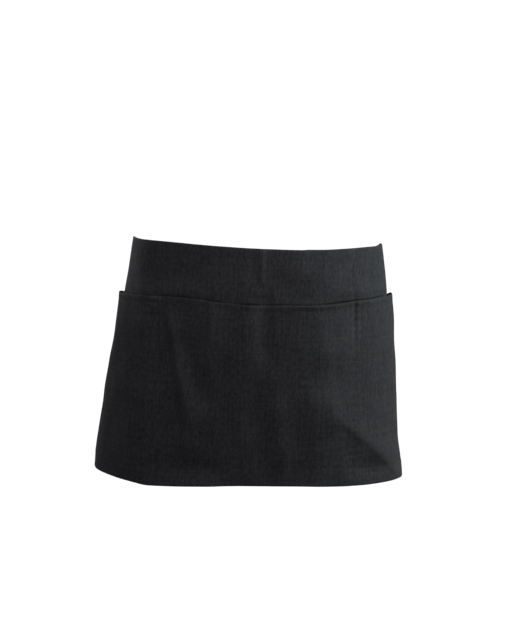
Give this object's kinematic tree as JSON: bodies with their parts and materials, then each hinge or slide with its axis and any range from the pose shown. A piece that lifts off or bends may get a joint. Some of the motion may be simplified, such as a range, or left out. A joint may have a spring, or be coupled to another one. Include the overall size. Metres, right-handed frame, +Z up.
{
  "type": "waist apron",
  "caption": "Short black twill waist apron with a full-width patch pocket divided by upright seams, shown as worn, tied behind with flat cloth ties and a knot.",
  "frame": {"origin": "middle of the waist at the height of the top edge at the front", "axes": "+X to the viewer's right, +Y to the wearer's back, so the front faces -Y, +Z up"},
  "size_m": [0.4006, 0.2657, 0.3079],
  "materials": {
    "body_twill": "matt black twill weave",
    "pocket_twill": "matt black twill weave",
    "tie_twill": "matt black twill weave, folded and topstitched"
  },
  "bodies": {
    "root": {"front_panel": "body_twill", "pocket_panel": "pocket_twill", "tie_left": "tie_twill", "tie_right": "tie_twill", "tie_knot": "tie_twill"}
  },
  "joints": []
}
